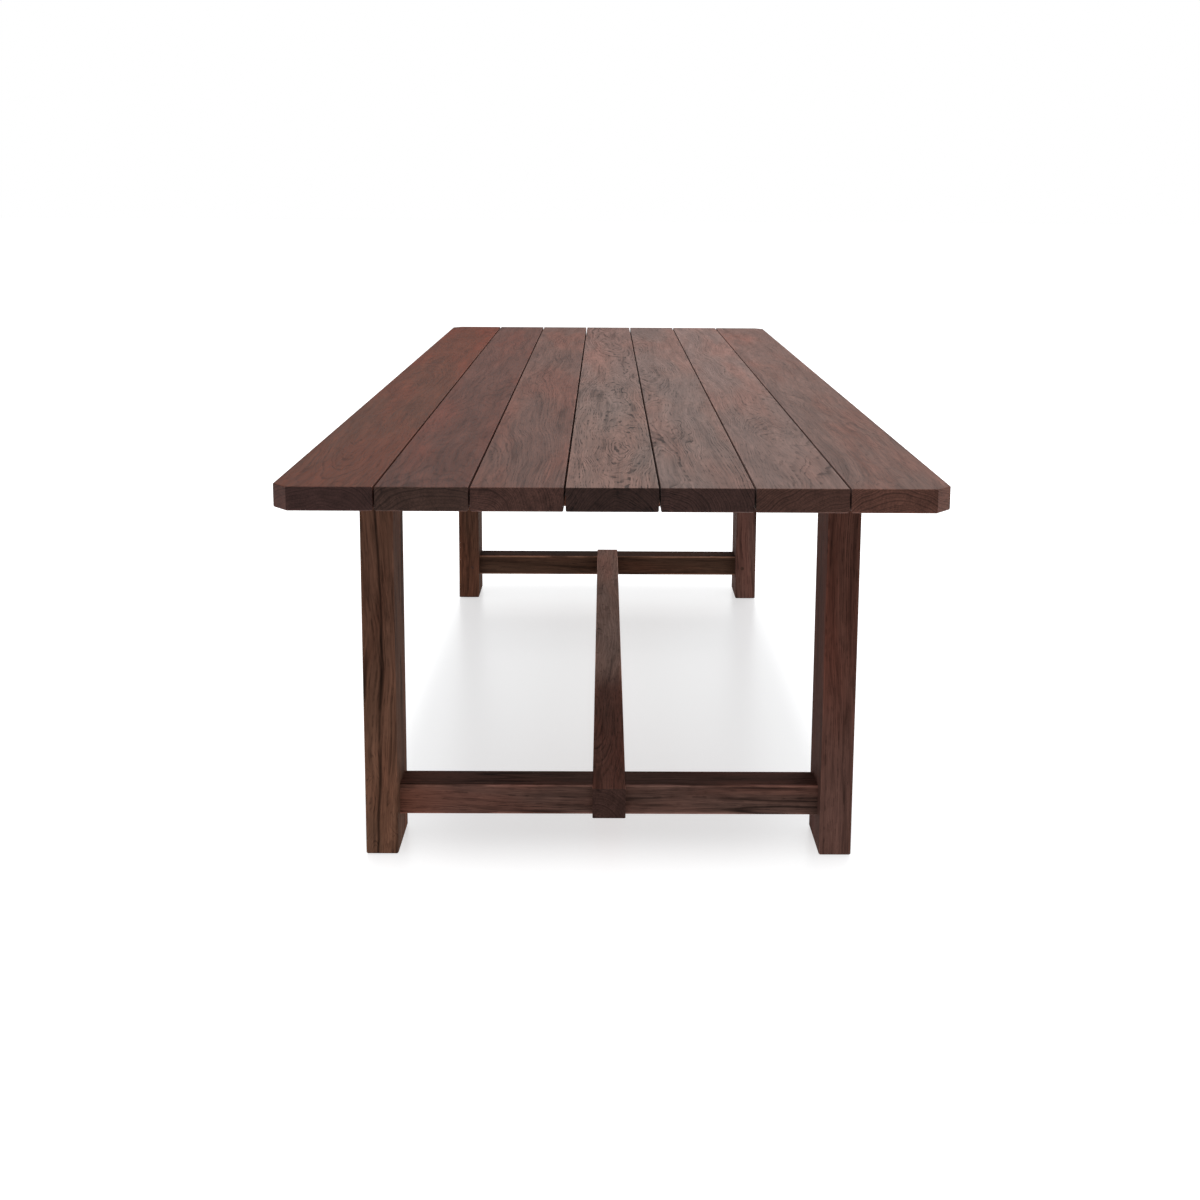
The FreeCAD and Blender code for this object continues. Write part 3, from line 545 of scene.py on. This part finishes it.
def make_polythene():
    """Dark polythene, injection moulded: matt with a faint spark texture."""
    material, tree = new_material("moulded_polythene")
    place = add(tree, "TexCoord").node.outputs["Object"]
    spark = add(tree, "TexNoise", {"Vector": place, "Scale": SPARK_REPEATS, "Detail": 2})
    rough = add(tree, "MapRange", {"Value": spark, "To Min": POLYTHENE_ROUGHNESS[0],
                                   "To Max": POLYTHENE_ROUGHNESS[1]})
    bump = add(tree, "Bump", {"Height": spark, "Strength": SPARK_STRENGTH,
                              "Distance": TEXTURE_DEPTH})
    shader = add(tree, "BsdfPrincipled", {"Base Color": POLYTHENE_COLOUR, "Roughness": rough,
                                          "Normal": bump})
    add(tree, "OutputMaterial", {"Surface": shader})
    return material


# The screws and their places, where the CAD model has them.
SCREW_HEAD_RADIUS = 0.007
SCREW_HEAD_THICKNESS = 0.0025
SCREW_HEAD_EASE = 0.001
SCREW_SHANK_RADIUS = 0.0025
SCREW_SIDES = 12
SCREW_SHARP_DEG = 35
DRIVE_RADIUS = 0.0024
DRIVE_FLOOR_RADIUS = 0.00216
DRIVE_DEPTH = 0.0016
DRIVE_LOBE = 0.16
PLANK_MIDDLES = (-0.425, -0.2788, -0.1394, 0, 0.1394, 0.2788, 0.425)
BATTEN_PLACES = (-0.388, 0, 0.388)
FRAME_PLACES = (-0.776, 0.776)
PLANK_SCREW_LEVEL = 0.6905
PLANK_SCREW_LENGTH = 0.054
PLANK_SCREW_SPREAD = (-0.025, 0.025)
STRETCHER_SCREW_LEVEL = 0.0665
STRETCHER_SCREW_LENGTH = 0.042
STRETCHER_SCREW_PLACES = (-0.014, 0.014)


def turned(profile, sides):
    """A surface of revolution about a standing axis: each ring is a radius, a height and by how
    much its radius swells and shrinks six times in a round. The first and last rings are points."""
    radius, height, lobe = np.array(profile).T
    angle = np.arange(sides) * math.tau / sides
    reach = radius[1:-1, None] * (1 + lobe[1:-1, None] * np.cos(6 * angle))
    level = np.broadcast_to(height[1:-1, None], reach.shape)
    rings = np.stack([reach * np.cos(angle), reach * np.sin(angle), level], -1).reshape(-1, 3)
    points = np.vstack([rings, (0, 0, height[0]), (0, 0, height[-1])])
    grid = np.arange(len(rings)).reshape(-1, sides)
    after = np.roll(grid, -1, 1)
    quads = np.stack([grid[:-1], after[:-1], after[1:], grid[1:]], -1).reshape(-1, 4)
    start, end = len(rings), len(rings) + 1
    fans = np.vstack([np.column_stack([after[0], grid[0], np.full(sides, start)]),
                      np.column_stack([grid[-1], after[-1], np.full(sides, end)])])
    return points, quads, fans


def make_screws(name, node, places, length, material):
    """Pan-headed screws, all in one piece, each standing on its head at its place: a flat eased
    head with a six-lobed drive, a plain shank and a blunt point. Each is a turned profile, of which
    a copy is shifted to every place."""
    head, shank, rim = SCREW_HEAD_RADIUS, SCREW_SHANK_RADIUS, SCREW_HEAD_THICKNESS
    profile = [(0, DRIVE_DEPTH, 0), (DRIVE_FLOOR_RADIUS, DRIVE_DEPTH, DRIVE_LOBE),
               (DRIVE_RADIUS, 0, DRIVE_LOBE), (head - SCREW_HEAD_EASE, 0, 0),
               (head, SCREW_HEAD_EASE, 0), (head, rim, 0), (shank, rim, 0),
               (shank, rim + length - shank * 2, 0), (0, rim + length, 0)]
    points, quads, fans = turned(profile, SCREW_SIDES)
    places = np.array(places)
    shift = (np.arange(len(places)) * len(points))[:, None, None]
    faces = [(faces + shift).reshape(-1, faces.shape[1]).tolist() for faces in (quads, fans)]
    mesh = bpy.data.meshes.new(name)
    mesh.from_pydata((places[:, None] + points).reshape(-1, 3).tolist(), [], faces[0] + faces[1])
    mesh.shade_smooth()
    mesh.set_sharp_from_angle(angle=math.radians(SCREW_SHARP_DEG))
    mesh.materials.append(material)
    screws = bpy.data.objects.new(name, mesh)
    bpy.context.collection.objects.link(screws)
    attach(screws, "root")
    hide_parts(node)


steel = make_steel()
batten_screws = [(middle + spread, y, PLANK_SCREW_LEVEL) for middle in PLANK_MIDDLES
                 for y in BATTEN_PLACES for spread in PLANK_SCREW_SPREAD]
rail_screws = [(middle, y, PLANK_SCREW_LEVEL) for middle in PLANK_MIDDLES[1:-1]
               for y in FRAME_PLACES]
make_screws("turned_plank_screws", "plank_screws", batten_screws + rail_screws,
            PLANK_SCREW_LENGTH, steel)
make_screws("turned_stretcher_screws", "stretcher_screws",
            [(x, y, STRETCHER_SCREW_LEVEL) for x in STRETCHER_SCREW_PLACES for y in FRAME_PLACES],
            STRETCHER_SCREW_LENGTH, steel)
polythene = make_polythene()
for end in ENDS:
    for side in SIDES:
        dress(f"glide_{end}_{side}", polythene)


def make_floor():
    """A wide flat floor: one square sheet at the level of the feet, painted and varnished, so that
    the feet show in it faintly. It glows white, and less within the soft shadow, which is the
    product of a smooth step across the table and one along it."""
    corners = np.array([(-1, -1, 0), (1, -1, 0), (1, 1, 0), (-1, 1, 0)]) * FLOOR_REACH
    mesh = bpy.data.meshes.new("studio_floor")
    mesh.from_pydata(corners.tolist(), [], [(0, 1, 2, 3)])
    floor = bpy.data.objects.new("studio_floor", mesh)
    bpy.context.collection.objects.link(floor)
    material, tree = new_material("painted_studio_floor")
    place = add(tree, "TexCoord").node.outputs["Object"]
    place = add(tree, "VectorMath", {0: place, 1: SHADOW_MIDDLE}, operation="SUBTRACT")
    place = add(tree, "VectorMath", {0: place}, operation="ABSOLUTE")
    sides = add(tree, "SeparateXYZ", {0: place}).node.outputs
    inside = [add(tree, "MapRange", {"Value": sides[axis], "From Min": edge - width / 2,
                                     "From Max": edge + width / 2, "To Min": 1, "To Max": 0},
                  **SMOOTH)
              for axis, edge, width in zip("XY", SHADOW_EDGE, SHADOW_WIDTH)]
    shadow = add(tree, "Math", {0: inside[0], 1: inside[1]}, operation="MULTIPLY")
    glow = add(tree, "Mix", {"Factor": shadow, "A": FLOOR_GLOW, "B": SHADOW_GLOW})
    shader = add(tree, "BsdfPrincipled", {"Base Color": FLOOR_COLOUR, "Roughness": FLOOR_ROUGHNESS,
                                          "IOR": FLOOR_IOR, "Specular IOR Level": FLOOR_SPECULAR,
                                          "Emission Color": "#FFFFFF", "Emission Strength": glow})
    add(tree, "OutputMaterial", {"Surface": shader})
    mesh.materials.append(material)


def make_sky():
    """White surroundings, which light the table only dimly."""
    world = bpy.data.worlds.new("studio")
    world.use_nodes = True
    tree = world.node_tree
    tree.nodes.clear()
    ray = add(tree, "LightPath").node.outputs
    glow = add(tree, "Mix", {"Factor": ray["Is Camera Ray"], "A": SKY_FOR_LIGHT,
                             "B": SKY_FOR_CAMERA})
    sky = add(tree, "Background", {"Color": "#FFFFFF", "Strength": glow})
    add(tree, "OutputWorld", {"Surface": sky})
    bpy.context.scene.world = world


def make_lamp(name, place, target, size, watts):
    """A soft box of light that faces a target and isn't seen itself."""
    light = bpy.data.lights.new(name, "AREA")
    light.shape = "RECTANGLE"
    light.size, light.size_y = size
    light.energy = watts
    lamp = bpy.data.objects.new(name, light)
    lamp.location = place
    lamp.rotation_euler = (Vector(target) - Vector(place)).to_track_quat("-Z", "Y").to_euler()
    lamp.visible_camera = False
    bpy.context.collection.objects.link(lamp)


def make_camera():
    """The photograph's camera: pitched down, turned and rolled a little, and shifted."""
    data = bpy.data.cameras.new("camera")
    data.sensor_width = SENSOR_MM
    data.lens = FOCAL_PIXELS / IMAGE_PIXELS * SENSOR_MM
    middle = IMAGE_PIXELS / 2
    data.shift_x = -(PRINCIPAL_POINT_PIXELS[0] - middle) / IMAGE_PIXELS
    data.shift_y = (PRINCIPAL_POINT_PIXELS[1] - middle) / IMAGE_PIXELS
    camera = bpy.data.objects.new("camera", data)
    turn = Matrix.Rotation(-math.radians(CAMERA_YAW_DEG), 4, "Z")
    pitch = Matrix.Rotation(math.radians(90 - CAMERA_PITCH_DEG), 4, "X")
    roll = Matrix.Rotation(math.radians(CAMERA_ROLL_DEG), 4, "Z")
    camera.matrix_world = Matrix.Translation(CAMERA_PLACE) @ turn @ pitch @ roll
    bpy.context.collection.objects.link(camera)
    bpy.context.scene.camera = camera


make_floor()
make_sky()
for lamp_name, lamp in LAMPS.items():
    make_lamp(lamp_name, **lamp)
make_camera()
bpy.context.scene.view_settings.view_transform = "Standard"
